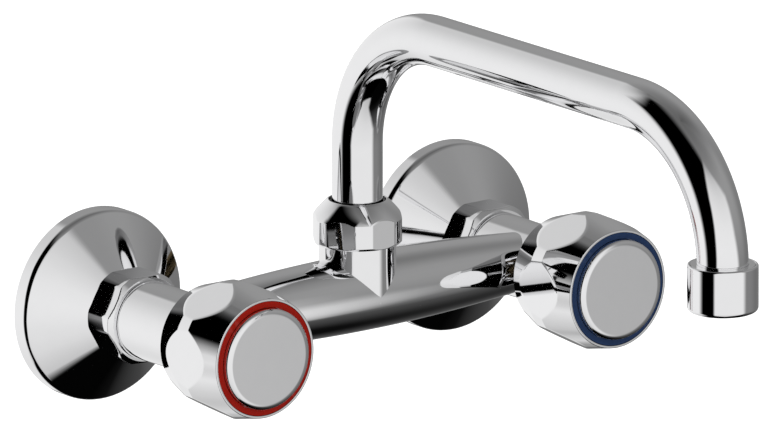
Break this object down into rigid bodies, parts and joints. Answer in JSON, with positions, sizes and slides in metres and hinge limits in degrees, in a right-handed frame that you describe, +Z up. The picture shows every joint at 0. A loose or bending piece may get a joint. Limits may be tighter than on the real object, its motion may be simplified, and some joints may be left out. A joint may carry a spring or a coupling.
{
  "type": "two handle kitchen faucet",
  "caption": "Wall-mounted kitchen mixer tap: cone covers, union nuts, cast body with faceted hot and cold knobs, and a swivelling high tube spout with an aerator.",
  "frame": {"origin": "on the wall plane, midway between the two inlet axes", "axes": "+X to the user's right, +Y into the wall, +Z up; the user stands at -Y"},
  "size_m": [0.216, 0.2749, 0.1389],
  "materials": {
    "chrome": "polished plating",
    "brass": "turned",
    "rubber": "moulded",
    "ceramic": "lapped ceramic",
    "steel": "plain stainless",
    "white_plastic": "moulded",
    "grey_plastic": "moulded",
    "red_ring": "moulded",
    "blue_ring": "moulded"
  },
  "bodies": {
    "mixer": {"body_casting": "chrome", "spout_nut": "chrome", "spout_glide_ring": "white_plastic", "hot_wall_union": "brass", "hot_escutcheon": "chrome", "hot_union_nut": "chrome", "hot_inlet_tail": "chrome", "hot_inlet_washer": "rubber", "hot_headwork": "brass", "hot_headwork_gasket": "rubber", "hot_headwork_seal": "rubber", "hot_fixed_disc": "ceramic", "cold_wall_union": "brass", "cold_escutcheon": "chrome", "cold_union_nut": "chrome", "cold_inlet_tail": "chrome", "cold_inlet_washer": "rubber", "cold_headwork": "brass", "cold_headwork_gasket": "rubber", "cold_headwork_seal": "rubber", "cold_fixed_disc": "ceramic"},
    "hot_valve": {"hot_turning_disc": "ceramic", "hot_spindle": "brass", "hot_spindle_o_rings": "rubber", "hot_spindle_clip": "steel", "hot_handle": "chrome", "hot_handle_screw": "steel", "hot_index_ring": "red_ring", "hot_cap": "chrome"},
    "cold_valve": {"cold_turning_disc": "ceramic", "cold_spindle": "brass", "cold_spindle_o_rings": "rubber", "cold_spindle_clip": "steel", "cold_handle": "chrome", "cold_handle_screw": "steel", "cold_index_ring": "blue_ring", "cold_cap": "chrome"},
    "spout": {"spout_nose": "brass", "spout_o_rings": "rubber", "spout_tube": "chrome", "outlet_ferrule": "chrome", "aerator_washer": "rubber", "aerator_insert": "grey_plastic", "aerator_housing": "chrome"}
  },
  "joints": [
    {"name": "hot_knob_turn", "type": "hinge", "parent": "mixer", "child": "hot_valve", "pos_m": [-0.075, -0.0495, 0], "axis": [0, -1, 0], "range_deg": [0, 180]},
    {"name": "cold_knob_turn", "type": "hinge", "parent": "mixer", "child": "cold_valve", "pos_m": [0.075, -0.0495, 0], "axis": [0, -1, 0], "range_deg": [0, 180]},
    {"name": "spout_swivel", "type": "hinge", "parent": "mixer", "child": "spout", "pos_m": [0, -0.0495, 0], "axis": [0, 0, 1], "range_deg": [-95, 95]}
  ]
}
